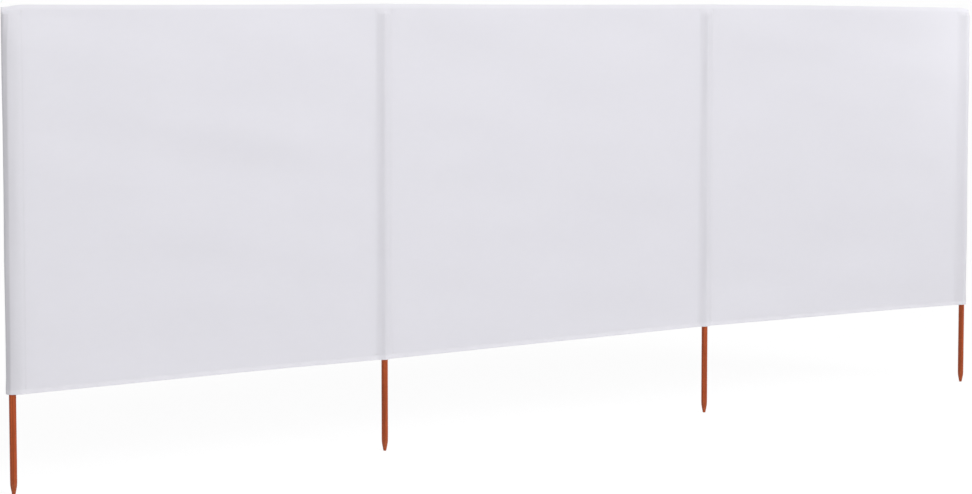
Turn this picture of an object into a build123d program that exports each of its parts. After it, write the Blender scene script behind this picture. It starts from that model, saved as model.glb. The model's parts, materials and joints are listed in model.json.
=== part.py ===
from build123d import *
import math
import os

# Beach windbreak: round poles carry bays of taut cloth between them.
# The cloth stands in the XZ plane, its front faces -Y and Z is up, in millimetres.
# The origin is the centre of the first pole's foot, and the bays run along +X.

# Driving dimensions
middle_bay = 1360.0  # from pole to pole
end_bay = 1303.0  # shorter by the cloth that is folded round the end pole
height = 1515.0  # from the poles' feet to the top edge of the cloth
foot_length = 315.0  # bare pole below the cloth

pole_diameter = 22.0
foot_flat = 10.0  # diameter of the blunt end
foot_taper = 30.0  # length of the tapered end
foot_edge = 1.2  # rounding of the blunt end
shoulder_rounding = 40.0  # blends the taper into the pole
top_rounding = 2.0  # at the pole's hidden top end
pole_below_top = 35.0  # from the pole's top end to the top edge of the cloth

cloth_thickness = 1.5
pole_play = 0.3  # between a pole and the cloth round it
hem_width = 15.0
hem_turns = 2  # layers that a hem adds behind the cloth
hem_rounding = 1.2  # the folded edge of a hem

inner_seam = 31.0  # from an inner pole's axis to each seam of its pocket
end_seam = 40.0  # from an end pole's axis to the seam that closes its pocket
seam_allowance = 8.0  # flat double cloth past each seam
fold_reach = 18.0  # from an end pole's axis to the inside of the folded end
fold_radius = 9.5  # inside radius of that fold
closed_bulge = 0.6  # inside radius that is left of a pocket under the hem that shuts its top
closed_fold = 0.5  # and that is left of the folded end

bay_lengths = [end_bay, middle_bay, end_bay]
bay_count = len(bay_lengths)
pole_places = [sum(bay_lengths[:i]) for i in range(bay_count + 1)]
pole_radius = pole_diameter / 2
pole_top = height - pole_below_top
pocket_radius = pole_radius + pole_play
pocket_closes = height - hem_width
hem_thickness = hem_turns * cloth_thickness
inner_edge = inner_seam + seam_allowance
end_edge = end_seam + seam_allowance


def seam_side(seam, edge, bulge, skin):
    """One side of a cloth layer in plan, from its flat edge to where it meets the pole.

    bulge is the pocket's inside radius at the pole, and skin the distance outside the pocket's inside.
    """
    slope = math.asin(bulge / seam)
    bend = seam + skin * math.tan(slope / 2)
    radius = bulge + skin
    touch = (radius * math.sin(slope), -radius * math.cos(slope))
    return [(edge, -skin), (bend, -skin), touch]


def fold_side(bulge, fold, skin):
    """The folded end of a cloth layer in plan, from the pole to the fold's outermost point."""
    centre = fold - fold_reach
    slope = math.asin((bulge - fold) / -centre)
    leave = (-(bulge + skin) * math.sin(slope), -(bulge + skin) * math.cos(slope))
    reach = (centre - (fold + skin) * math.sin(slope), -(fold + skin) * math.cos(slope))
    halfway = math.pi / 4 + slope / 2
    middle = (centre - (fold + skin) * math.sin(halfway), -(fold + skin) * math.cos(halfway))
    return [leave, reach, middle, (-fold_reach - skin, 0)]


def mirrored(point):
    return (-point[0], point[1])


def inner_path(bulge, skin):
    """A layer of an inner pocket in plan, from its right edge to its left one."""
    edge, bend, touch = seam_side(inner_seam, inner_edge, bulge, skin)
    return [
        Line(edge, bend),
        Line(bend, touch),
        ThreePointArc(touch, (0, -bulge - skin), mirrored(touch)),
        Line(mirrored(touch), mirrored(bend)),
        Line(mirrored(bend), mirrored(edge)),
    ]


def end_path(bulge, fold, skin):
    """Half of an end pocket in plan, from its right edge to the middle of its folded end."""
    edge, bend, touch = seam_side(end_seam, end_edge, bulge, skin)
    leave, reach, middle, tip = fold_side(bulge, fold, skin)
    return [
        Line(edge, bend),
        Line(bend, touch),
        ThreePointArc(touch, (0, -bulge - skin), leave),
        Line(leave, reach),
        ThreePointArc(reach, middle, tip),
    ]


def strip(inside, outside):
    """The section between two paths that run the same way."""
    caps = [Line(inside[0] @ 0, outside[0] @ 0), Line(inside[-1] @ 1, outside[-1] @ 1)]
    return make_face(inside + outside + caps)


def closed_strip(outside):
    """The section between a path and the plane in which the layers meet."""
    start = outside[0] @ 0
    end = outside[-1] @ 1
    flat = Polyline(start, (start.X, 0), (end.X, 0), end) if end.Y else Line(start, end)
    return make_face([*outside, flat])


def extruded(section, start, length):
    return extrude(Pos(Z=start) * section, length, dir=(0, 0, 1))


def pocket_layer(path, opened, closed):
    """A layer of cloth that runs up the pole, is drawn in above it and shut by a flat band."""
    wall = strip(path(*opened, 0), path(*opened, cloth_thickness))
    shut = strip(path(*closed, 0), path(*closed, cloth_thickness))
    crown = loft([Pos(Z=pole_top) * wall, Pos(Z=pocket_closes) * shut], ruled=True)
    band = closed_strip(path(*closed, cloth_thickness))
    return (
        extruded(wall, foot_length, pole_top - foot_length)
        + crown
        + extruded(band, pocket_closes, hem_width)
    )


def pocket_hem(path, form, start):
    """A hem on the back of a pocket, which follows the cloth round the pole."""
    outside = cloth_thickness + hem_thickness
    section = strip(path(*form, cloth_thickness), path(*form, outside))
    return mirror(extruded(section, start, hem_width), about=Plane.XZ)


def pole():
    """A turned pole: blunt end, short taper, and a plain round length."""
    outline = FilletPolyline(
        (0, 0),
        (foot_flat / 2, 0),
        (pole_radius, foot_taper),
        (pole_radius, pole_top),
        (0, pole_top),
        radius=[foot_edge, shoulder_rounding, top_rounding],
    )
    section = make_face([*outline.edges(), Line(outline @ 1, outline @ 0)])
    return revolve(Plane.XZ * section, Axis.Z)


def flat_edge_of(pole_index):
    """How far the flat cloth of a pole's pocket reaches from the pole's axis."""
    return end_edge if pole_index in (0, bay_count) else inner_edge


def bay_span(bay):
    """The X range of a bay between the pockets at its two ends."""
    left = pole_places[bay] + flat_edge_of(bay)
    right = pole_places[bay + 1] - flat_edge_of(bay + 1)
    return left, right


def bay_cloth(bay):
    left, right = bay_span(bay)
    size = (right - left, cloth_thickness, height - foot_length)
    return Pos(left, 0, foot_length) * Box(*size, align=(Align.MIN, Align.MAX, Align.MIN))


def bay_hem(bay, start, folded_up):
    """A turned hem behind a bay, rounded where the cloth folds over."""
    left, right = bay_span(bay)
    size = (right - left, hem_thickness, hem_width)
    hem = Pos(left, 0, start) * Box(*size, align=Align.MIN)
    edges = hem.edges().filter_by(Axis.X).sort_by(Axis.Y)[-2:].sort_by(Axis.Z)
    return fillet(edges[-1] if folded_up else edges[0], hem_rounding)


def build_pieces():
    opened_inner = (pocket_radius,)
    closed_inner = (closed_bulge,)
    opened_end = (pocket_radius, fold_radius)
    closed_end = (closed_bulge, closed_fold)
    inner_front = pocket_layer(inner_path, opened_inner, closed_inner)
    end_front = pocket_layer(end_path, opened_end, closed_end)
    end_pocket = end_front + mirror(end_front, about=Plane.XZ)
    pieces = {}
    for i, x in enumerate(pole_places):
        place = Pos(X=x)
        number = i + 1
        pieces[f"pole_{number}"] = place * pole()
        if i in (0, bay_count):
            path, opened, closed = end_path, opened_end, closed_end
            turned = [end_pocket]
            names = ["end_pocket"]
        else:
            path, opened, closed = inner_path, opened_inner, closed_inner
            turned = [inner_front, mirror(inner_front, about=Plane.XZ)]
            names = ["pocket_front", "pocket_back"]
        turned += [
            pocket_hem(path, opened, foot_length),
            pocket_hem(path, closed, pocket_closes),
        ]
        names += ["mouth_hem", "crown_hem"]
        for name, piece in zip(names, turned):
            facing = mirror(piece, about=Plane.YZ) if i == bay_count else piece
            pieces[f"{name}_{number}"] = place * facing
    for bay in range(bay_count):
        pieces[f"bay_{bay + 1}"] = bay_cloth(bay)
        pieces[f"bottom_hem_{bay + 1}"] = bay_hem(bay, foot_length, folded_up=False)
        pieces[f"top_hem_{bay + 1}"] = bay_hem(bay, pocket_closes, folded_up=True)
    return pieces


os.makedirs("parts", exist_ok=True)
for node, piece in build_pieces().items():
    export_step(piece, f"parts/{node}.step")
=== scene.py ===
import json
import math

import bpy
import numpy as np
from mathutils import Euler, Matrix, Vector

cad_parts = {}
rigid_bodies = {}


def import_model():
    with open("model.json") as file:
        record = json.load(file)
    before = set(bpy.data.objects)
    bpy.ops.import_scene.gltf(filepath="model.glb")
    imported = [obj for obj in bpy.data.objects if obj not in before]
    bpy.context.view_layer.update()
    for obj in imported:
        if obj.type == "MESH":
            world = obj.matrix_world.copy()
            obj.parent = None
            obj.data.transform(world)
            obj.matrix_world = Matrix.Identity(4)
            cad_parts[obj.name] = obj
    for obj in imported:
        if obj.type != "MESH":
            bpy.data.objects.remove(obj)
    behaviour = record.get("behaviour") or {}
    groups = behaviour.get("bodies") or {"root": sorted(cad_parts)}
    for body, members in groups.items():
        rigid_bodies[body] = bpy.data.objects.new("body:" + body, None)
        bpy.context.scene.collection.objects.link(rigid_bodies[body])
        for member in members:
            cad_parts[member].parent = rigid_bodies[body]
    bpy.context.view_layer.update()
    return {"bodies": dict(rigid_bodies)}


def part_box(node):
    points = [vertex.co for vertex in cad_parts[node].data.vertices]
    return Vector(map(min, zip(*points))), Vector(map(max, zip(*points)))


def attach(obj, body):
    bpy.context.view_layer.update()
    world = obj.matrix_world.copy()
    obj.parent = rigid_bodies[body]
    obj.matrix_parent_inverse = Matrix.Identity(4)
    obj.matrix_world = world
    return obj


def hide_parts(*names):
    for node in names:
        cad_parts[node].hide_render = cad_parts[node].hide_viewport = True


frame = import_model()

# A three-bay beach windbreak: one long cloth round four poles, with its hems, seams and stitches.
# All sizes are in metres, in the row frame: X along the bays, -Y the front, Z up.
MM = 0.001
BODY = next(iter(frame["bodies"]))

# Poles: places and sizes from the frame, and the shape of the foot
POLES = [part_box(f"pole_{n}") for n in range(1, 5)]
POLE_X = [(low[0] + high[0]) / 2 for low, high in POLES]
PLACES = [np.array([x, 0]) for x in POLE_X]
POLE_RADIUS = (POLES[0][1][0] - POLES[0][0][0]) / 2
POLE_TOP = POLES[0][1][2]
POLE_SIDES = 40
FOOT_FLAT = 5 * MM  # the radius of the blunt end
FOOT_EDGE = 1.2 * MM  # how far that end's edge is rounded
FOOT_TAPER = 30 * MM
SHOULDER = 0.7 * MM  # how much is rounded off the shoulder above the taper
TOP_ROUNDING = 2 * MM
POLE_STEP = 18 * MM  # between the rows of its plain length
TURNING = 0.05 * MM  # how unevenly a pole was turned
FOOT_WEAR = 0.16 * MM  # how far its foot is worn in places
FOOT_WEAR_REACH = 25 * MM

# Cloth: places from the frame. A pocket has a seam on either side of its pole, or on one side at an
# end pole, and a flat sewn edge beyond each seam. Both are given by their distance from the pole.
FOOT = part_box("bay_1")[0][2]
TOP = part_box("bay_1")[1][2]
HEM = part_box("top_hem_1")[1][2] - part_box("top_hem_1")[0][2]
FOLD_REACH = POLE_X[0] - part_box("end_pocket_1")[0][0]
END_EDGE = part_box("end_pocket_1")[1][0] - POLE_X[0]
INNER_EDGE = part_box("pocket_front_2")[1][0] - POLE_X[1]
SEAM_ALLOWANCE = 8 * MM
END_SEAM = END_EDGE - SEAM_ALLOWANCE
INNER_SEAM = INNER_EDGE - SEAM_ALLOWANCE
EDGES = (END_EDGE, INNER_EDGE, INNER_EDGE, END_EDGE)
SEAMS = (END_SEAM, INNER_SEAM, INNER_SEAM, END_SEAM)

# The real cloth is thinner than its CAD solids
CLOTH = 0.5 * MM
GAP = 0.3 * MM
HEM_THICK = 1.0 * MM
FACE = (CLOTH + GAP) / 2  # from the plane where two layers meet to the middle of each
BEHIND = CLOTH / 2 + GAP  # from the middle of a layer to the near face of a hem on it
ROUND_POLE = POLE_RADIUS + 0.35 * MM + CLOTH / 2  # the radius of the cloth's middle round a pole
FOLD_ROUND = 9.5 * MM  # the same radius at an end pocket's outer fold
CLOSED_ROUND = 1.2 * MM  # what is left of both under the top hem
CLOSED_FOLD = 0.8 * MM
MOUTH_FLARE = HEM_THICK + GAP  # room for the hem between the cloth and the pole
MOUTH_REACH = 50 * MM
CURL = (BEHIND + HEM_THICK) / 2  # the radius at which the cloth turns over a hem
TUCK = 0.3 * MM  # the same where a layer ends under the top hem
UNDER_HEM = 1.2 * MM  # how far below the top such a layer stops
HEM_INSET = 0.35 * MM  # how far a hem's own edge lies inside the cloth that turns over it
FULL, SLACK = 1.0, 1.6  # how a pocket swells from its seam: evenly, or gradually

# Rows and columns of the cloth's mesh
FLAT_SHARES = (0, 0.35, 0.62, 0.8125, 0.92)  # from a pocket's flat edge to its seam
SLOPE_STEPS, ROUND_STEPS, LEAVE_STEPS, FOLD_STEPS = 7, 5, 2, 6
BAY_STEP = 18 * MM
BAY_EASING = 0.11  # how strongly a bay's columns crowd towards its pockets
CURL_STEPS = 4
SQUEEZED = 0.2  # the share of its spacing that a row keeps where its layer stops lower
MIRROR_X = np.array([-1, 1])
MIRROR_Y = np.array([1, -1])

# How far the cloth's edges run above level ones, in millimetres: at the poles, and bowed between
TOP_AT_POLES = (-7.5, 1.0, 5.0, -3.0)
TOP_ARCHES = (-2.5, -2.0, 1.5)
BOTTOM_AT_POLES = (-1.5, -2.0, 9.0, 0.0)
BOTTOM_ARCHES = (2.5, 0.0, 1.0)
CORNER_DROOP = (8.0, 7.0)  # how far its two end corners hang lower still
CORNER_REACH = (38 * MM, 22 * MM)
CORNER_START = 0.96  # the share of the cloth's height above which its corners droop

# How far the cloth stands out of its plane, and how far from a seam or hem that reaches
BILLOW_DEPTH, BILLOW_REACH = 2.6 * MM, 160 * MM
RIPPLE_DEPTH, RIPPLE_REACH = 0.35 * MM, 50 * MM
HOLLOW_DEPTH, HOLLOW_PLACE, HOLLOW_WIDTH = 0.8 * MM, 22 * MM, 11 * MM
PUCKER_DEPTH, PUCKER_REACH = 0.22 * MM, 9 * MM
HEM_DEPTH, HEM_REACH = 0.3 * MM, 16 * MM
LOOSE_DEPTH = 0.9 * MM  # how far a pocket's cloth stands off its pole
GATHER_DEPTH, GATHER_PITCH = 0.15 * MM, 9 * MM  # the folds of a pocket drawn in above its pole

# The first pocket is turned round its pole, whose axis is at x = 0
TURN = math.radians(46)
TURN_AT_SEAM = math.radians(8)  # what is left of that turn at its seam
TURN_CURVE = 1.5  # how it falls from the pole to the seam: above 1, slowly at first
TURN_FADE = 6 * MM  # how far beyond the seam it ends
TURN_HIGH = 0.8  # the share of that turn that is left near the top
TURN_HELD = 0.8  # the share of the rest that the top hem takes out
TURN_EASES = TOP - 140 * MM  # where the hem's hold begins

# Thread
LOW_STITCHES = FOOT + HEM - 2.6 * MM
HIGH_STITCHES = TOP - HEM + 2.6 * MM
STITCH_PITCH = 5.0 * MM
STITCH_LENGTH = 4.2 * MM
STITCH_MARGIN = 2 * MM  # from the end of a row of stitches to the edge or hem beyond it
SEAM_STITCHES = 1.5 * MM  # from a pocket's seam out to its stitches
FOLD_STITCHES = 0.9  # the share of an end fold's reach where the front's top row ends
THREAD = 0.32 * MM  # half its width
PULL = 0.15 * MM  # how deep the stitches draw the cloth in
PULL_WIDTH = 1.1 * MM
TACK_ROWS = 6
TACK_PITCH = 0.9 * MM
TACK_WIDTH = 5 * MM

# Finishes
DOUBLED = "doubled"  # the mesh attribute that says where hems double the cloth, which lets less light through there and is painted lighter there
WEAVE_PITCH = 1.4 * MM
CLOTH_COLOUR = (0.875, 0.867, 0.918)
HEM_COLOUR = (0.905, 0.897, 0.945)
GLOW_COLOUR = (0.97, 0.965, 1.0)
THREAD_COLOUR = (0.88, 0.875, 0.91)
WOOD_COLOUR = (0.46, 0.082, 0.019)
WORN_COLOUR = (0.50, 0.23, 0.11)
CLOTH_THROUGH, HEM_THROUGH = 0.15, 0.08  # the share of light that passes through
WORN_HEIGHT = 70 * MM  # how far up its foot a pole is scuffed

# Floor and background
WHITE = (1.0, 1.0, 1.0, 1.0)
FLOOR_SIZE = 80.0
FLOOR_DROP = 0.5 * MM
FLOOR_COLOUR = (0.9, 0.9, 0.9)
FLOOR_LIT = 0.6  # how bright the lit floor is
SHADOW_NEAR, SHADOW_FAR = 1.5, 6.0  # where the floor's shadow begins and ends its fade
SHADOW_SHARE = 0.2
BACKGROUND = 0.991
FLOOR_WHITE = (BACKGROUND - SHADOW_SHARE * FLOOR_LIT) / (1 - SHADOW_SHARE)

# Light, with angles in degrees
AMBIENT = 0.42
AMBIENT_FRONT, AMBIENT_BACK, AMBIENT_SIDES = 1.2, 2.2, 0.1
KEY_STRENGTH, KEY_SPREAD = 0.88, 25.0
KEY_ACROSS, KEY_UP = 16.0, 32.0
KEY_DISTANCE = 10.0
TOP_LIGHT = {"place": (2.0, -2.2, 3.4), "target": (2.0, 0, 1.0), "size": (7.0, 1.0), "watts": 46}
END_LIGHT = {"place": (4.3, -0.45, 1.45), "target": (3.9, 0, 1.3), "size": (0.3, 0.3), "watts": 0.6}

# Camera, with angles in degrees
CAMERA_PLACE = (-2.142, -6.261, 1.450)
CAMERA_DOWN, CAMERA_RIGHT = 3.41, 31.58
LENS = 78.54
SHIFT_Y = -0.10


def smooth(low, high, value):
    """0 below low, 1 above high, and an even curve between."""
    t = np.clip((np.asarray(value, float) - low) / (high - low), 0, 1)
    return t * t * (3 - 2 * t)


def waves(seed, count, lengths_u, lengths_v):
    """A smooth random field of (u, v) in metres, about -1 to 1, as a sum of sine waves."""
    rng = np.random.default_rng(seed)
    ku = 2 * math.pi / rng.uniform(*lengths_u, count) * rng.choice([-1, 1], count)
    kv = 2 * math.pi / rng.uniform(*lengths_v, count)
    phase = rng.uniform(0, 2 * math.pi, count)
    strength = rng.uniform(0.5, 1, count)
    strength = strength / np.sqrt((strength**2).sum())

    def field(u, v):
        return sum(s * np.sin(a * u + b * v + c) for a, b, c, s in zip(ku, kv, phase, strength))

    return field


def distances(points):
    """How far along a line of points each of them lies."""
    steps = np.linalg.norm(np.diff(points, axis=0), axis=1)
    return np.concatenate([[0], np.cumsum(steps)])


def along_line(places, knots, points):
    """Points at places along a line whose own points lie at knots."""
    return np.stack([np.interp(places, knots, axis) for axis in points.T], axis=1)


# ---------------------------------------------------- how the whole cloth hangs and moves
BILLOW = waves(3, 14, (0.7, 2.6), (0.16, 0.6))
RIPPLE = waves(5, 8, (0.12, 0.3), (0.09, 0.4))
SEAM_NOISE = waves(7, 10, (0.5, 1.5), (0.02, 0.06))
HEM_NOISE = waves(9, 12, (0.05, 0.12), (0.2, 0.5))
HOLLOW_NOISE = waves(11, 6, (0.8, 2.0), (0.15, 0.7))
LOOSE_NOISE = waves(13, 9, (0.03, 0.09), (0.25, 0.9))


def seam_distance(x):
    """How far x is from the nearest pocket's seam, positive out in a bay."""
    return np.min([np.abs(x - px) - seam for px, seam in zip(POLE_X, SEAMS)], axis=0)


def sway(x, z):
    """How far the cloth stands behind its plane, in every layer alike."""
    d = seam_distance(x)
    near_edge = np.minimum(z - FOOT, TOP - z)
    billow = BILLOW_DEPTH * smooth(0, BILLOW_REACH, d) * BILLOW(x, z)
    ripple = RIPPLE_DEPTH * smooth(0, RIPPLE_REACH, d) * RIPPLE(x, z)
    hollow = HOLLOW_DEPTH * np.exp(-(((d - HOLLOW_PLACE) / HOLLOW_WIDTH) ** 2))
    hollow = hollow * (0.6 + 0.5 * HOLLOW_NOISE(x, z))
    pucker = PUCKER_DEPTH * np.exp(-np.abs(d) / PUCKER_REACH) * SEAM_NOISE(x, z)
    hem = HEM_DEPTH * smooth(-2 * MM, 8 * MM, d) * np.exp(-near_edge / HEM_REACH) * HEM_NOISE(x, z)
    return billow + ripple + hollow + pucker + hem


def edge_line(x, at_poles, arches):
    """The height of an edge of the cloth above a level one."""
    bay = np.clip(np.searchsorted(POLE_X, x) - 1, 0, 2)
    t = np.clip((x - np.array(POLE_X)[bay]) / np.diff(POLE_X)[bay], 0, 1)
    return MM * (np.interp(x, POLE_X, at_poles) + np.array(arches)[bay] * 4 * t * (1 - t))


def lift(x, z):
    """How far a point of the cloth lies above its place on level edges. The end corners droop."""
    up = (z - FOOT) / (TOP - FOOT)
    total = edge_line(x, BOTTOM_AT_POLES, BOTTOM_ARCHES) * (1 - up) ** 2
    total = total + edge_line(x, TOP_AT_POLES, TOP_ARCHES) * up**2
    ends = (POLE_X[0] - FOLD_REACH, POLE_X[3] + FOLD_REACH)
    for end, droop, reach in zip(ends, CORNER_DROOP, CORNER_REACH):
        near = np.exp(-((np.abs(x - end) / reach) ** 2))
        total = total - droop * MM * near * smooth(CORNER_START, 1, up)
    return total


def drawn_in(x, z):
    """0 where a pocket is open round its pole, 1 where its top is shut, by the point's own height."""
    return smooth(POLE_TOP - 1 * MM, TOP - HEM + lift(x, TOP), z + lift(x, z))


def loose_cloth(u, z):
    """How far a pocket's cloth stands off its pole, never less than nothing."""
    return LOOSE_DEPTH * np.clip(0.45 + 0.5 * LOOSE_NOISE(u, z), 0, None)


def gathers(u, closing):
    """How far the cloth stands out where a pocket is drawn in above its pole."""
    folds = 1 + np.sin(2 * math.pi * u / GATHER_PITCH)
    return GATHER_DEPTH * (4 * closing * (1 - closing)) ** 2 * folds


def stitched_in(x, z):
    """How far the stitches of the hems and seams draw the cloth in."""
    from_hem = np.minimum(np.abs(z - LOW_STITCHES), np.abs(z - HIGH_STITCHES))
    from_seam = np.abs(seam_distance(x) - SEAM_STITCHES)
    return PULL * np.exp(-((np.minimum(from_hem, from_seam) / PULL_WIDTH) ** 2))


# ------------------------------------------------------------------ the first pocket's turn
TURN_PLACES = np.linspace(-25, 60, 86) * MM
TURN_ANGLES = TURN + (TURN_AT_SEAM - TURN) * np.clip(TURN_PLACES / END_SEAM, 0, 1) ** TURN_CURVE
TURN_ANGLES *= 1 - smooth(END_SEAM, END_SEAM + TURN_FADE, TURN_PLACES)


def from_axis(slopes):
    """The sum of slopes along TURN_PLACES, from the pole's axis."""
    steps = (slopes[1:] + slopes[:-1]) / 2 * np.diff(TURN_PLACES)
    sums = np.concatenate([[0], np.cumsum(steps)])
    return sums - np.interp(0, TURN_PLACES, sums)


# Sums along the cloth of each power of the turn's angle. They come back to 0 at the next pocket, so
# the bay between runs straight there.
TURN_KNOTS = [*TURN_PLACES, POLE_X[1] - INNER_EDGE]
TURN_SUMS = [[*from_axis(TURN_ANGLES**power), 0] for power in range(1, 7)]


def turn_share(z):
    """How much of the turn is left at a height: the top hem holds the pocket nearly in line."""
    share = np.interp(z, (FOOT, TURN_EASES), (1, TURN_HIGH))
    return share * (1 - TURN_HELD * smooth(TURN_EASES, TOP - HEM, z))


def turn_at(x, z):
    """The angle by which the cloth is turned forwards at a point."""
    return np.interp(x, TURN_PLACES, TURN_ANGLES) * turn_share(z)


def rotated(x, y, angle):
    """A direction or a step, turned forwards by angle."""
    return x * np.cos(angle) + y * np.sin(angle), y * np.cos(angle) - x * np.sin(angle)


def turned(x, y, z):
    """The cloth's plan with the first pocket turned round its pole, and the bay led on from it.

    The line at y = 0 becomes the sum of exp(-1j * share * angle) along it, as the series of that
    exponential, and each point keeps its step y from that line.
    """
    step_x, step_y = rotated(0, y, turn_at(x, z))
    move = 0
    for power, sums in enumerate(TURN_SUMS, start=1):
        factor = (-1j * turn_share(z)) ** power / math.factorial(power)
        move = move + factor * np.interp(x, TURN_KNOTS, sums)
    return x + move.real + step_x, move.imag + step_y


# ------------------------------------------------------------ plan of the cloth round a pole
def line_points(start, end, count):
    share = np.linspace(0, 1, count, endpoint=False)[:, None]
    return np.array(start) * (1 - share) + np.array(end) * share


def arc_points(centre, radius, start, end, count):
    angle = np.linspace(start, end, count, endpoint=False)
    return np.stack([centre + radius * np.cos(angle), radius * np.sin(angle)], axis=1)


def touching_slope(seam, radius, power):
    """The angle at which a pocket's side, swelling by that power, meets the cloth round the pole."""
    low, high = 0.0, math.pi / 3
    for _ in range(40):
        angle = (low + high) / 2
        run = seam - radius * math.sin(angle)
        if run * math.tan(angle) < power * (radius * math.cos(angle) - FACE):
            low = angle
        else:
            high = angle
    return angle


def seam_to_pole(seam, edge, radius, power):
    """The front layer from its flat edge to where it touches the pole, and the angle of that place."""
    slope = touching_slope(seam, radius, power)
    touch_x, touch_y = radius * math.sin(slope), -radius * math.cos(slope)
    share = np.array(FLAT_SHARES)[:, None]
    flat = np.array((edge, -FACE)) * (1 - share) + np.array((seam, -FACE)) * share
    share = np.linspace(0, 1, SLOPE_STEPS, endpoint=False)
    swollen_x = seam + (touch_x - seam) * share
    swollen_y = (touch_y + FACE) * share**power - FACE
    return np.concatenate([flat, np.stack([swollen_x, swollen_y], axis=1)]), -math.pi / 2 + slope


def inner_half(radius):
    """Half of an inner pocket's front layer, from its flat edge to the middle of the pole."""
    points, touch = seam_to_pole(INNER_SEAM, INNER_EDGE, radius, SLACK)
    round_pole = arc_points(0, radius, touch, -math.pi / 2, ROUND_STEPS)
    return np.concatenate([points, round_pole, [(0, -radius)]])


def end_half(radius, fold, power):
    """Half of an end pocket, from its flat edge to the outermost point of the fold."""
    points, touch = seam_to_pole(END_SEAM, END_EDGE, radius, power)
    centre = fold - FOLD_REACH + CLOTH / 2
    slope = math.asin((radius - fold) / -centre)
    leave = (-radius * math.sin(slope), -radius * math.cos(slope))
    reach = (centre - fold * math.sin(slope), -fold * math.cos(slope))
    return np.concatenate([
        points,
        arc_points(0, radius, touch, -math.pi / 2 - slope, 2 * ROUND_STEPS),
        line_points(leave, reach, LEAVE_STEPS),
        arc_points(centre, fold, -math.pi / 2 - slope, -math.pi, FOLD_STEPS),
        [(centre - fold, 0)],
    ])


def flattened(opened, closed):
    """A closed half's points, spread out past its seam as the cloth is along the opened one."""
    flat = len(FLAT_SHARES)
    along, reach = distances(opened[flat:]), distances(closed[flat:])
    target = along / along[-1] * reach[-1]
    return np.concatenate([closed[:flat], along_line(target, reach, closed[flat:])])


def bay_points(start, end):
    """The flat cloth between two pockets, without either end, finer near them."""
    count = round(math.dist(start, end) / BAY_STEP)
    t = np.linspace(0, 1, count + 1)[1:-1]
    eased = (t - BAY_EASING * np.sin(2 * math.pi * t) / math.pi)[:, None]
    return np.array(start) * (1 - eased) + np.array(end) * eased


def front_plan(inner, first, last):
    """The main cloth, from its edge behind the first pole, over the front, to that behind the last."""
    pocket = np.concatenate([inner * MIRROR_X, inner[-2::-1]])
    first_loop = np.concatenate([first * MIRROR_Y, first[-2::-1]])
    last_loop = np.concatenate([last, last[-2::-1] * MIRROR_Y]) * MIRROR_X
    runs = [first_loop + PLACES[0]]
    for part in (pocket + PLACES[1], pocket + PLACES[2], last_loop + PLACES[3]):
        runs += [bay_points(runs[-1][-1], part[0]), part]
    return np.concatenate(runs)


def strip_plan(inner):
    """The strip behind an inner pole, from its right edge to its left."""
    return np.concatenate([inner * MIRROR_Y, inner[-2::-1] * MIRROR_X * MIRROR_Y])


def back_plan(inner, first, last):
    """The line of the top hem, from right to left: over the pockets, and down to the cloth between."""
    step = np.array([5 * MM, 0])
    left, right = (end[:-1] * MIRROR_Y for end in (first, last))
    runs = [right[::-1] * MIRROR_X + PLACES[3]]
    for part in (strip_plan(inner) + PLACES[2], strip_plan(inner) + PLACES[1], left + PLACES[0]):
        start = runs[-1][-1] * MIRROR_Y - step
        stop = part[0] * MIRROR_Y + step
        runs += [start[None], bay_points(start, stop), stop[None], part]
    return np.concatenate(runs)


def share_out(x):
    """0 round a pole and beyond the end ones, 1 at the pockets' seams and in the bays."""
    shares = [smooth(POLE_RADIUS, seam, np.abs(x - px)) for px, seam in zip(POLE_X, SEAMS)]
    beyond = (x < POLE_X[0]) | (x > POLE_X[3])
    return np.where(beyond, 0, np.min(shares, axis=0))


class Layer:
    """A layer of cloth, as columns at places along its plan.

    The table's rows are the plan's x and y below the poles' tops, its x and y under the top hem, the
    x and y of its outward direction, stand and loose. stand is how far a column keeps outside the plan
    at the open foot of its pocket, to leave room for a hem. loose is how freely the column wrinkles,
    from 0 to 1.
    """

    def __init__(self, places, table):
        self.places = places
        self.table = table
        self.x = table[0]
        self.closed_y = table[3]

    @classmethod
    def from_plans(cls, opened, closed, stand, loose):
        """A layer whose plan is opened below the poles' tops and closed under the top hem."""
        ahead = np.gradient(opened, axis=0)
        ahead /= np.linalg.norm(ahead, axis=1, keepdims=True)
        table = np.stack([*opened.T, *closed.T, ahead[:, 1], -ahead[:, 0], stand, loose])
        return cls(distances(opened), table)

    def at(self, places):
        """The same layer with its columns at other places along it."""
        return Layer(np.asarray(places, float), along_line(places, self.places, self.table.T).T)

    def place_of(self, x, behind=False):
        """Where along the layer it passes x, on its front or on what lies behind a pole."""
        chosen = self.closed_y > 0 if behind else self.closed_y < 0
        order = np.argsort(self.x[chosen])
        return np.interp(x, self.x[chosen][order], self.places[chosen][order])

    def outward(self, z):
        """The cloth's outward direction, for each column or for each of one column's heights."""
        x, y = rotated(self.table[4], self.table[5], turn_at(self.x, z))
        flat = np.stack([x, y, 0 * x], axis=1)
        return flat / np.linalg.norm(flat, axis=1, keepdims=True)

    def points(self, z, outside=0.0):
        """A grid of points for the heights z, moved outwards by outside."""
        opened_x, opened_y, closed_x, closed_y, out_x, out_y, stand, loose = self.table
        closing = drawn_in(opened_x, z)
        mouth = 1 - smooth(FOOT + HEM, FOOT + MOUTH_REACH, z)
        slack = (1 - closing) * loose_cloth(self.places, z) + gathers(self.places, closing)
        away = outside + stand * mouth + loose * slack - stitched_in(opened_x, z)
        x = opened_x * (1 - closing) + closed_x * closing + out_x * away
        y = opened_y * (1 - closing) + closed_y * closing + out_y * away
        z = np.broadcast_to(z, x.shape)
        return np.stack([*turned(x, y + sway(x, z), z), z + lift(x, z)], axis=-1)


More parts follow.
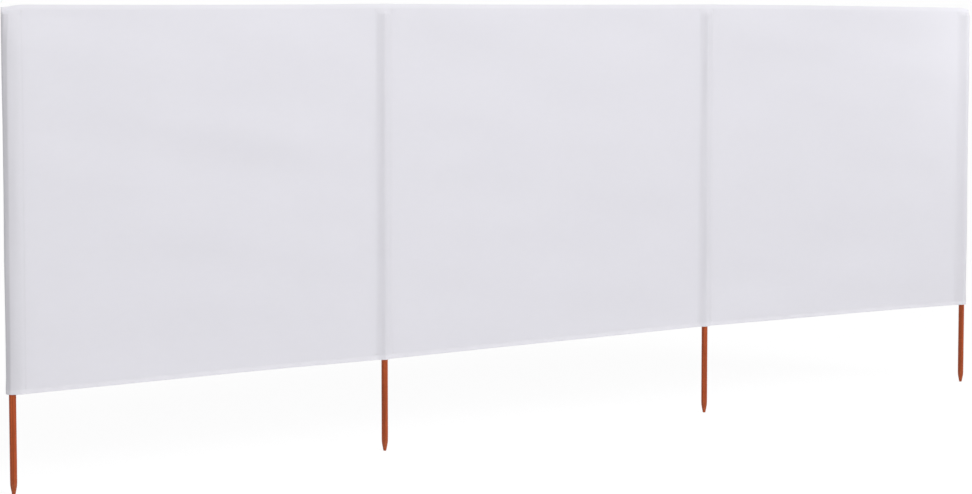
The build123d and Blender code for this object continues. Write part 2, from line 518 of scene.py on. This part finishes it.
def row_heights(low, high):
    """Heights of a sheet's rows, close together at the hems and where the pockets close.

    hem_rows are counted up from the foot and down from the top.
    """
    hem_rows = np.array([4.5, 8, 10.6, 11.6, 12.4, 13.2, 14.2, 14.8, 15.2, 17]) * MM
    edges = [FOOT + 20 * MM, FOOT + MOUTH_REACH, POLE_TOP - 8 * MM, TOP - 18 * MM]
    steps = [6 * MM, 18 * MM, 3.4 * MM]
    runs = [[low], FOOT + hem_rows]
    for start, end, step in zip(edges, edges[1:], steps):
        runs.append(np.linspace(start, end, round((end - start) / step), endpoint=False))
    return np.concatenate([*runs, TOP - hem_rows[::-1], [high]])[:, None]


def hem_share(z):
    """1 in the rows of a sheet that its hems double, and 0 between."""
    return smooth(HEM, HEM - 0.3 * MM, np.minimum(z - FOOT, TOP - z))


def sheet_rows(layer, top, top_curl, bottom_turn):
    """Heights and offsets of a sheet's rows: it turns over its hems at the bottom and the top.

    top and top_curl are each column's top and the radius at which it turns inwards there, and
    bottom_turn is -1 where the bottom turns inwards and 1 where it turns outwards.
    """
    angle = np.linspace(0, math.pi / 2, CURL_STEPS + 1)[1:, None]
    rise = 1 - np.sin(angle)
    inwards = 1 - np.cos(angle)
    level = 0 * layer.places
    middle = row_heights(FOOT + CURL, TOP - 2 * CURL) + level
    squeezed = np.minimum(middle, top - top_curl - (TOP - 2 * CURL - middle) * SQUEEZED)
    z = np.concatenate([FOOT + CURL * rise[::-1] + level, squeezed, top - top_curl * rise])
    turns = [bottom_turn * CURL * inwards[::-1] + level, 0 * middle, -top_curl * inwards]
    return z, np.concatenate(turns)


# ---------------------------------------------------------------------------- making meshes
def new_object(name, vertices, faces, material):
    """A smooth mesh that rides on the part's one body."""
    mesh = bpy.data.meshes.new(name)
    mesh.from_pydata([tuple(v) for v in vertices], [], faces)
    mesh.polygons.foreach_set("use_smooth", [True] * len(mesh.polygons))
    mesh.materials.append(material)
    piece = bpy.data.objects.new(name, mesh)
    bpy.context.scene.collection.objects.link(piece)
    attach(piece, BODY)
    return piece


def grid_faces(rows, columns, ring_rows=False, ring_columns=False):
    """Quads of a grid of rows by columns, which can close round on either."""
    faces = []
    for r in range(rows if ring_rows else rows - 1):
        below, above = r * columns, (r + 1) % rows * columns
        for near in range(columns if ring_columns else columns - 1):
            far = (near + 1) % columns
            faces.append((below + near, below + far, above + far, above + near))
    return faces


def sheet_object(name, layer, top, top_curl, bottom_turn, material):
    """A layer's sheet of cloth, which says at each point whether a hem doubles it."""
    z, outside = sheet_rows(layer, top, top_curl, bottom_turn)
    points = layer.points(z, outside)
    piece = new_object(name, points.reshape(-1, 3), grid_faces(*z.shape), material)
    doubled = piece.data.attributes.new(DOUBLED, "FLOAT", "POINT")
    doubled.data.foreach_set("value", hem_share(z).astype(np.float32).ravel())
    thicken = piece.modifiers.new("thickness", "SOLIDIFY")
    thicken.thickness = CLOTH
    thicken.offset = 0
    return piece


def band_object(name, layer, low, high, side, material):
    """A turned hem beside a layer, outside it where side is 1 and inside where it is -1.

    Its edges are rounded, and both its ends are capped.
    """
    near, far = side * BEHIND, side * (BEHIND + HEM_THICK)
    radius = abs(far - near) / 2
    angle = np.linspace(0, math.pi, 6)
    flat = np.linspace(low + radius, high - radius, 5)[1:-1]
    bulge = radius * np.sin(angle)
    round_edge = side * radius * (1 - np.cos(angle))
    z = np.concatenate([flat, high - radius + bulge, flat[::-1], low + radius - bulge])
    away = np.concatenate([0 * flat + near, near + round_edge, 0 * flat + far, far - round_edge])
    points = layer.points(z[:, None], away[:, None])
    rows, columns = points.shape[:2]
    first = tuple(r * columns for r in range(rows))
    last = tuple(r * columns + columns - 1 for r in reversed(range(rows)))
    faces = [*grid_faces(rows, columns, ring_rows=True), first, last]
    if side > 0:
        faces = [face[::-1] for face in faces]
    return new_object(name, points.reshape(-1, 3), faces, material)


# --------------------------------------------------------------------------------- stitches
def level_stitches(layer, start, stop, z, outside):
    """Stitches along a hem, as their starts, ends and outward directions."""
    places = np.arange(start, stop - STITCH_LENGTH, STITCH_PITCH)
    row = layer.points(np.array([[z]]), outside)[0]
    ends = [along_line(p, layer.places, row) for p in (places, places + STITCH_LENGTH)]
    return *ends, layer.at(places).outward(z) * math.copysign(1, outside)


def upright_stitches(layer, place, low, high, outside):
    """Stitches up a seam, as their starts, ends and outward directions."""
    column = layer.at([place])
    heights = np.arange(low, high - STITCH_LENGTH, STITCH_PITCH)
    rows = row_heights(FOOT + CURL, TOP - 2 * CURL)
    line = column.points(rows, outside)[:, 0]
    ends = [along_line(z, rows[:, 0], line) for z in (heights, heights + STITCH_LENGTH)]
    return *ends, column.outward(heights)


def bar_tack(layer, place, low, outside):
    """A short dense bar of stitches across a seam's end."""
    heights = low + np.arange(TACK_ROWS)[:, None] * TACK_PITCH
    sides = [place - TACK_WIDTH / 2, place + TACK_WIDTH / 2]
    ends = [layer.at([side]).points(heights, outside)[:, 0] for side in sides]
    return *ends, layer.at([place]).outward(heights[:, 0])


def stitch_object(name, groups, material):
    """Every stitch as a short bar of thread that dips into the cloth at both ends."""
    starts, ends, outward = (np.concatenate([group[i] for group in groups]) for i in range(3))
    across = np.cross(ends - starts, outward)
    across *= THREAD / np.linalg.norm(across, axis=1, keepdims=True)
    up = outward * THREAD
    corners = [starts - 0.5 * up]
    for share in (0.22, 0.78):
        middle = starts + (ends - starts) * share
        corners += [middle + across, middle + up, middle - across, middle - 0.6 * up]
    corners.append(ends - 0.5 * up)
    vertices = np.stack(corners, axis=1).reshape(-1, 3)
    faces = []
    for first in range(0, len(vertices), len(corners)):
        near, far, last = first + 1, first + 5, first + 9
        for k in range(4):
            j = (k + 1) % 4
            faces.append((first, near + j, near + k))
            faces.append((near + k, near + j, far + j, far + k))
            faces.append((far + k, far + j, last))
    return new_object(name, vertices, faces, material)


# ------------------------------------------------------------------------------------ poles
def quarter_round(radius, height):
    """How far an edge rounded to that radius lies inside a square one, height above its end."""
    return radius * (1 - np.sqrt(1 - np.clip(1 - height / radius, 0, 1) ** 2))


def pole_radius_at(z):
    """The outline: a blunt end, a short taper with a rounded shoulder, and a plain length."""
    taper = FOOT_FLAT + (POLE_RADIUS - FOOT_FLAT) * z / FOOT_TAPER
    gap = POLE_RADIUS - taper
    radius = (POLE_RADIUS + taper - np.sqrt(gap**2 + (2 * SHOULDER) ** 2)) / 2
    return radius - quarter_round(FOOT_EDGE, z) - quarter_round(TOP_ROUNDING, POLE_TOP - z)


def pole_object(number, material):
    """A pole, turned a little unevenly, and worn at its foot."""
    low = np.array([0, 0.1, 0.3, 0.6, 1.2, 2.5, 4.5, *range(7, 37, 3), 38, 43, 50]) * MM
    plain = np.arange(60 * MM, POLE_TOP - 10 * MM, POLE_STEP)
    high = POLE_TOP - np.array([2.0, 1.2, 0.6, 0.2, 0]) * MM
    z = np.concatenate([low, plain, high])[:, None]
    angle = np.linspace(0, 2 * math.pi, POLE_SIDES, endpoint=False)
    uneven = waves(40 + number, 9, (0.8, 6.3), (0.06, 0.5))
    worn = waves(60 + number, 5, (1.5, 6.3), (0.005, 0.02))
    near_foot = np.exp(-z / FOOT_WEAR_REACH)
    radius = pole_radius_at(z) + TURNING * uneven(angle, z)
    radius = radius + near_foot * FOOT_WEAR * (worn(angle, z) - 1)
    x = POLE_X[number - 1] + radius * np.cos(angle)
    y = radius * np.sin(angle)
    points = np.stack([x, y, np.broadcast_to(z, x.shape)], axis=-1)
    sides = grid_faces(len(z), POLE_SIDES, ring_columns=True)
    foot = tuple(reversed(range(POLE_SIDES)))
    top = tuple(range((len(z) - 1) * POLE_SIDES, len(z) * POLE_SIDES))
    name = f"varnished_pole_{number}"
    piece = new_object(name, points.reshape(-1, 3), [*sides, foot, top], material)
    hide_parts(f"pole_{number}")


# -------------------------------------------------------------------------------- materials
def node(tree, kind, inputs=None, **settings):
    """Adds a node. inputs gives its sockets' values or the sockets that feed them."""
    made = tree.nodes.new(kind)
    for key, value in settings.items():
        setattr(made, key, value)
    for key, value in (inputs or {}).items():
        if isinstance(value, bpy.types.NodeSocket):
            tree.links.new(value, made.inputs[key])
        else:
            made.inputs[key].default_value = value
    return made


def math_node(tree, operation, a, b=0.0):
    return node(tree, "ShaderNodeMath", {0: a, 1: b}, operation=operation).outputs[0]


def weighted(tree, *pairs):
    """The sum of values, each times its weight."""
    first, *others = (math_node(tree, "MULTIPLY", value, weight) for value, weight in pairs)
    for other in others:
        first = math_node(tree, "ADD", first, other)
    return first


def ranged(tree, value, low, high, to_low=0.0, to_high=1.0):
    """A value's place between low and high, as one between to_low and to_high, held within them."""
    sockets = {"Value": value, "From Min": low, "From Max": high, "To Min": to_low, "To Max": to_high}
    return node(tree, "ShaderNodeMapRange", sockets).outputs[0]


def axes(tree, vector):
    """The X, Y and Z of a vector."""
    return node(tree, "ShaderNodeSeparateXYZ", {0: vector}).outputs


def place_in_object(tree):
    return node(tree, "ShaderNodeTexCoord").outputs["Object"]


def noise(tree, place, grain, detail, roughness=0.5):
    """Noise with that many grains per metre along X, Y and Z."""
    scaled = node(tree, "ShaderNodeVectorMath", {0: place, 1: grain}, operation="MULTIPLY").outputs[0]
    sockets = {"Vector": scaled, "Scale": 1.0, "Detail": detail, "Roughness": roughness}
    return node(tree, "ShaderNodeTexNoise", sockets).outputs["Fac"]


def bumped(tree, height, strength, distance, **inputs):
    """A normal that follows a height."""
    sockets = {"Height": height, "Strength": strength, "Distance": distance, **inputs}
    return node(tree, "ShaderNodeBump", sockets).outputs[0]


def mixed_colour(tree, factor, first, second):
    """first where factor is 0, and second where it is 1."""
    sockets = {0: factor, 6: first, 7: second}
    return node(tree, "ShaderNodeMix", sockets, data_type="RGBA").outputs[2]


def mixed_shader(tree, factor, first, second):
    return node(tree, "ShaderNodeMixShader", {0: factor, 1: first, 2: second}).outputs[0]


def shade(colour, share=1.0):
    """A colour made lighter or darker, with an alpha of 1."""
    return (*(channel * share for channel in colour), 1.0)


def new_material(name):
    """A material with an empty tree."""
    material = bpy.data.materials.new(name)
    material.use_nodes = True
    material.node_tree.nodes.clear()
    return material, material.node_tree


def weave_height(tree, place):
    """Plain weave: threads that pass over and under each other, across the cloth and up it."""
    x, y, z = axes(tree, place)
    ways = (math_node(tree, "ADD", x, y), z)
    turns = 2 * math.pi / WEAVE_PITCH
    threads = [math_node(tree, "SINE", math_node(tree, "MULTIPLY", way, turns)) for way in ways]
    return math_node(tree, "MULTIPLY", *threads)


def cloth_material(name, colour, through):
    """Matt white woven polyester, which lets a little light through, with a painted highlight where a
    hem doubles it.
    """
    material, tree = new_material(name)
    place = place_in_object(tree)
    clouds = noise(tree, place, (2.4, 2.4, 3.2), detail=3)
    fibres = noise(tree, place, (26, 26, 60), detail=5, roughness=0.62)
    slubs = noise(tree, place, (9, 9, 900), detail=2)
    tone = ranged(tree, weighted(tree, (clouds, 0.5), (fibres, 0.35), (slubs, 0.15)), 0.32, 0.68)
    single = mixed_colour(tree, tone, shade(colour, 0.985), shade(colour, 1.012))
    doubled = node(tree, "ShaderNodeAttribute", attribute_name=DOUBLED).outputs["Fac"]
    crumple = noise(tree, place, (70, 70, 70), detail=4, roughness=0.6)
    soft = bumped(tree, crumple, 0.25, 0.35 * MM)
    woven = bumped(tree, weave_height(tree, place), 0.35, 0.05 * MM, Normal=soft)
    surface = node(tree, "ShaderNodeBsdfPrincipled", {
        # Where a hem doubles the cloth, its colour is painted 3.5 % lighter. This is painted light for
        # what the hem behind reflects back through the sheet.
        "Base Color": mixed_colour(tree, doubled, single, shade(colour, 1.035)),
        "Roughness": ranged(tree, fibres, 0.3, 0.7, 0.84, 0.94),
        "Specular IOR Level": 0.25,
        "Sheen Weight": 0.1,
        "Sheen Roughness": 0.5,
        "Normal": woven,
    })
    glow = node(tree, "ShaderNodeBsdfTranslucent", {"Color": shade(GLOW_COLOUR), "Normal": soft})
    clear = ranged(tree, doubled, 0.0, 1.0, through, 0.5 * through)
    mix = mixed_shader(tree, clear, surface.outputs[0], glow.outputs[0])
    node(tree, "ShaderNodeOutputMaterial", {0: mix})
    return material


def thread_material():
    """Twisted white polyester thread."""
    material, tree = new_material("white_thread")
    fuzz = noise(tree, place_in_object(tree), (900, 900, 900), detail=2)
    surface = node(tree, "ShaderNodeBsdfPrincipled", {
        "Base Color": mixed_colour(tree, fuzz, shade(THREAD_COLOUR, 0.93), shade(THREAD_COLOUR)),
        "Roughness": ranged(tree, fuzz, 0.3, 0.7, 0.55, 0.75),
        "Normal": bumped(tree, fuzz, 0.4, 0.1 * MM),
    })
    node(tree, "ShaderNodeOutputMaterial", {0: surface.outputs[0]})
    return material


def wood_material():
    """Turned wood under thin reddish-brown varnish, with its grain up the pole and a scuffed foot."""
    material, tree = new_material("reddish_brown_varnished_wood")
    place = place_in_object(tree)
    broad = noise(tree, place, (190, 190, 4), detail=4, roughness=0.55)
    fine = noise(tree, place, (900, 900, 14), detail=3, roughness=0.6)
    pore = ranged(tree, noise(tree, place, (2200, 2200, 90), detail=1), 0.6, 0.7)
    grain = ranged(tree, weighted(tree, (broad, 0.65), (fine, 0.35)), 0.36, 0.64)
    streaks = mixed_colour(tree, grain, shade(WOOD_COLOUR, 0.62), shade(WOOD_COLOUR, 1.22))
    dark = math_node(tree, "MULTIPLY", pore, 0.55)
    pored = mixed_colour(tree, dark, streaks, shade(WOOD_COLOUR, 0.35))
    upwards = axes(tree, node(tree, "ShaderNodeNewGeometry").outputs["Normal"])[2]
    end_grain = ranged(tree, math_node(tree, "ABSOLUTE", upwards), 0.75, 0.95)
    speckled = mixed_colour(tree, fine, shade(WOOD_COLOUR, 0.4), shade(WOOD_COLOUR, 0.75))
    ended = mixed_colour(tree, end_grain, pored, speckled)
    low_down = ranged(tree, axes(tree, place)[2], WORN_HEIGHT, 0.0)
    scuffs = noise(tree, place, (260, 260, 120), detail=4, roughness=0.65)
    worn = math_node(tree, "MULTIPLY", low_down, ranged(tree, scuffs, 0.5, 0.66))
    worn = math_node(tree, "MULTIPLY", worn, 0.5)
    relief = math_node(tree, "SUBTRACT", fine, math_node(tree, "MULTIPLY", pore, 0.6))
    gloss = ranged(tree, broad, 0.3, 0.7, 0.36, 0.48)
    surface = node(tree, "ShaderNodeBsdfPrincipled", {
        "Base Color": mixed_colour(tree, worn, ended, shade(WORN_COLOUR)),
        "Roughness": math_node(tree, "ADD", gloss, math_node(tree, "MULTIPLY", worn, 0.4)),
        "Specular IOR Level": 0.2,
        "Coat Weight": 0.08,
        "Coat Roughness": 0.3,
        "Normal": bumped(tree, relief, 0.35, 0.15 * MM),
    })
    node(tree, "ShaderNodeOutputMaterial", {0: surface.outputs[0]})
    return material


def shows_white(tree):
    """1 for rays from the camera, and for those that a gloss or clear surface shows."""
    rays = node(tree, "ShaderNodeLightPath").outputs
    total = math_node(tree, "MAXIMUM", rays["Is Camera Ray"], rays["Is Glossy Ray"])
    return math_node(tree, "MAXIMUM", total, rays["Is Transmission Ray"])


def floor_material():
    """A white floor that keeps the object's shadow and fades to plain white further off."""
    material, tree = new_material("pale_floor")
    distance = node(tree, "ShaderNodeVectorMath", {0: place_in_object(tree)}, operation="LENGTH")
    fade = (distance.outputs["Value"], SHADOW_NEAR, SHADOW_FAR)
    strength = ranged(tree, *fade, FLOOR_WHITE, BACKGROUND)
    plain = node(tree, "ShaderNodeBsdfDiffuse", {"Color": shade(FLOOR_COLOUR)}).outputs[0]
    white = node(tree, "ShaderNodeEmission", {"Strength": strength}).outputs[0]
    seen = mixed_shader(tree, ranged(tree, *fade, SHADOW_SHARE, 0.0), white, plain)
    node(tree, "ShaderNodeOutputMaterial", {0: mixed_shader(tree, shows_white(tree), plain, seen)})
    return material


# ------------------------------------------------------------------ floor, lights and camera
def make_floor():
    middle = (POLE_X[0] + POLE_X[3]) / 2
    bpy.ops.mesh.primitive_plane_add(size=FLOOR_SIZE, location=(middle, 0, -FLOOR_DROP))
    floor = bpy.context.object
    floor.name = "floor"
    floor.data.materials.append(floor_material())


def make_world():
    """White where it is seen, and a soft light, weaker from the sides and stronger from behind."""
    world = bpy.data.worlds.new("studio")
    world.use_nodes = True
    bpy.context.scene.world = world
    tree = world.node_tree
    tree.nodes.clear()
    white = node(tree, "ShaderNodeBackground", {"Color": WHITE, "Strength": BACKGROUND})
    x, y, _ = axes(tree, node(tree, "ShaderNodeTexCoord").outputs["Generated"])
    sideways = math_node(tree, "ABSOLUTE", x)
    strength = ranged(tree, sideways, 0.3, 1.0, AMBIENT * AMBIENT_FRONT, AMBIENT * AMBIENT_SIDES)
    behind = ranged(tree, y, 0.0, 0.7, 1.0, AMBIENT_BACK)
    strength = math_node(tree, "MULTIPLY", strength, behind)
    ambient = node(tree, "ShaderNodeBackground", {"Color": WHITE, "Strength": strength})
    mix = mixed_shader(tree, shows_white(tree), ambient.outputs[0], white.outputs[0])
    node(tree, "ShaderNodeOutputWorld", {0: mix})


def add_lamp(name, data, place, target):
    lamp = bpy.data.objects.new(name, data)
    lamp.location = place
    lamp.rotation_euler = (Vector(target) - Vector(place)).to_track_quat("-Z", "Y").to_euler()
    lamp.visible_camera = False
    bpy.context.scene.collection.objects.link(lamp)


def make_lamp(name, place, target, size, watts):
    """A rectangular soft box."""
    data = bpy.data.lights.new(name, "AREA")
    data.shape = "RECTANGLE"
    data.size, data.size_y = size
    data.energy = watts
    add_lamp(name, data, place, target)


def make_key():
    """A broad, even light from the front, high up and a little to the right."""
    data = bpy.data.lights.new("key", "SUN")
    data.angle = math.radians(KEY_SPREAD)
    data.energy = KEY_STRENGTH
    across, up = math.radians(KEY_ACROSS), math.radians(KEY_UP)
    direction = (math.sin(across) * math.cos(up), -math.cos(across) * math.cos(up), math.sin(up))
    add_lamp("key", data, [KEY_DISTANCE * part for part in direction], (0, 0, 0))


def make_camera():
    data = bpy.data.cameras.new("camera")
    data.lens = LENS
    data.shift_y = SHIFT_Y
    camera = bpy.data.objects.new("camera", data)
    camera.location = CAMERA_PLACE
    camera.rotation_euler = Euler((math.radians(90 - CAMERA_DOWN), 0, math.radians(-CAMERA_RIGHT)))
    bpy.context.scene.collection.objects.link(camera)
    bpy.context.scene.camera = camera


# --------------------------------------------------------------------------- the windbreak
def make_layers():
    """The main cloth, the strips behind the two inner poles, and the line of the top hem."""
    opened_halves, closed_halves = (
        [inner_half(radius), end_half(radius, fold, FULL), end_half(radius, fold, SLACK)]
        for radius, fold in ((ROUND_POLE, FOLD_ROUND), (CLOSED_ROUND, CLOSED_FOLD))
    )
    closed_halves = [flattened(*halves) for halves in zip(opened_halves, closed_halves)]
    opened = front_plan(*opened_halves)
    closed = front_plan(*closed_halves)
    out = share_out(opened[:, 0])
    stand = np.where(closed[:, 1] > 0, 1 + out, 1 - out) * MOUTH_FLARE
    main = Layer.from_plans(opened, closed, stand, 1 - out)
    strips = []
    for place in PLACES[1:3]:
        opened = strip_plan(opened_halves[0]) + place
        closed = strip_plan(closed_halves[0]) + place
        out = share_out(opened[:, 0])
        strips.append(Layer.from_plans(opened, closed, out * MOUTH_FLARE, 1 - out))
    line = back_plan(*closed_halves)
    none = 0 * line[:, 0]
    return main, strips, Layer.from_plans(line, line, none, none)


def pocket_share(x):
    """1 on the pockets and 0 in the bays, with a short slope between."""
    beyond = np.min([np.abs(x - px) - edge for px, edge in zip(POLE_X, EDGES)], axis=0)
    return 1 - smooth(0, 5 * MM, beyond)


def make_cloth(main, strips, crest, cloth, hem_cloth):
    """The sheets and their hems, each standing for the CAD pieces in its place."""
    folded_back = main.closed_y > 0
    top = np.where(folded_back, TOP - UNDER_HEM, TOP)
    over_hem = CURL + np.abs(main.closed_y) * pocket_share(main.x)
    sheet = sheet_object("main_cloth", main, top, np.where(folded_back, TUCK, over_hem), -1, cloth)
    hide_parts("bay_1", "bay_2", "bay_3", "pocket_front_2", "pocket_front_3")
    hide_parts("end_pocket_1", "end_pocket_4")
    low, high = FOOT + HEM_INSET, FOOT + HEM
    bottom_hem = band_object("bottom_hem", main, low, high, -1, hem_cloth)
    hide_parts("bottom_hem_1", "bottom_hem_2", "bottom_hem_3", "mouth_hem_1", "mouth_hem_4")
    top_hem = band_object("top_hem", crest, TOP - HEM, TOP - HEM_INSET, 1, hem_cloth)
    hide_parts("top_hem_1", "top_hem_2", "top_hem_3", *(f"crown_hem_{n}" for n in range(1, 5)))
    backs = []
    for number, strip in zip((2, 3), strips):
        top = TOP - UNDER_HEM + 0 * strip.places
        back = sheet_object(f"pocket_back_{number}_cloth", strip, top, TUCK + 0 * top, 1, cloth)
        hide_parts(f"pocket_back_{number}")
        hem = band_object(f"pocket_hem_{number}", strip, low, high, 1, hem_cloth)
        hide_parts(f"mouth_hem_{number}")
        backs.append((back, hem, strip))
    return sheet, bottom_hem, top_hem, backs


def row_ends(layer):
    """Where a row of stitches along a whole layer starts and stops."""
    return STITCH_MARGIN, layer.places[-1] - STITCH_MARGIN


def hem_stitches(main, strips, crest):
    """Rows of stitches along the hems, on the front and on the back."""
    skin, hem_face = CLOTH / 2, BEHIND + HEM_THICK
    first = main.place_of(POLE_X[0] - FOLD_STITCHES * FOLD_REACH)
    last = main.place_of(POLE_X[3] + FOLD_STITCHES * FOLD_REACH)
    front = [
        level_stitches(main, *row_ends(main), LOW_STITCHES, skin),
        level_stitches(main, first, last, HIGH_STITCHES, skin),
    ]
    back = [level_stitches(crest, *row_ends(crest), HIGH_STITCHES, hem_face)]
    for bay in range(3):
        left = main.place_of(POLE_X[bay] + EDGES[bay]) + STITCH_MARGIN
        right = main.place_of(POLE_X[bay + 1] - EDGES[bay + 1]) - STITCH_MARGIN
        back.append(level_stitches(main, left, right, LOW_STITCHES, -hem_face))
    back += [level_stitches(strip, *row_ends(strip), LOW_STITCHES, hem_face) for strip in strips]
    return front, back


def seam_stitches(main, strips):
    """Rows of stitches up the seams and bar tacks at their ends, on the front and on the back."""
    low, high = FOOT + HEM + STITCH_MARGIN, TOP - HEM - STITCH_MARGIN
    tacks = (low, high - TACK_ROWS * TACK_PITCH)
    seams = [(POLE_X[0] + END_SEAM, 1, main), (POLE_X[3] - END_SEAM, -1, main)]
    for px, strip in zip(POLE_X[1:3], strips):
        seams += [(px - INNER_SEAM, -1, strip), (px + INNER_SEAM, 1, strip)]
    front, back = [], []
    for seam, way, behind in seams:
        x = seam + way * SEAM_STITCHES
        for group, layer, is_behind in ((front, main, False), (back, behind, True)):
            place = layer.place_of(x, is_behind)
            group.append(upright_stitches(layer, place, low, high, CLOTH / 2))
            group += [bar_tack(layer, place, tack, CLOTH / 2) for tack in tacks]
    return front, back


def make_stitches(main, strips, crest, thread):
    """The thread of each kind of row, one piece for the front and one for the back."""
    threads = []
    rows = {"hem": hem_stitches(main, strips, crest), "seam": seam_stitches(main, strips)}
    for kind, sides in rows.items():
        for side, groups in zip(("front", "back"), sides):
            threads.append(stitch_object(f"{kind}_stitches_{side}", groups, thread))
    return threads


bpy.context.scene.view_settings.view_transform = "Standard"
wood = wood_material()
cloth = cloth_material("white_cloth", CLOTH_COLOUR, CLOTH_THROUGH)
hem_cloth = cloth_material("white_hem_cloth", HEM_COLOUR, HEM_THROUGH)
for pole_number in range(1, 5):
    pole_object(pole_number, wood)
layers = make_layers()
main_cloth, low_hem, high_hem, back_strips = make_cloth(*layers, cloth, hem_cloth)
threads = make_stitches(*layers, thread_material())
make_floor()
make_world()
make_key()
make_lamp("top_light", **TOP_LIGHT)
make_lamp("end_light", **END_LIGHT)
make_camera()
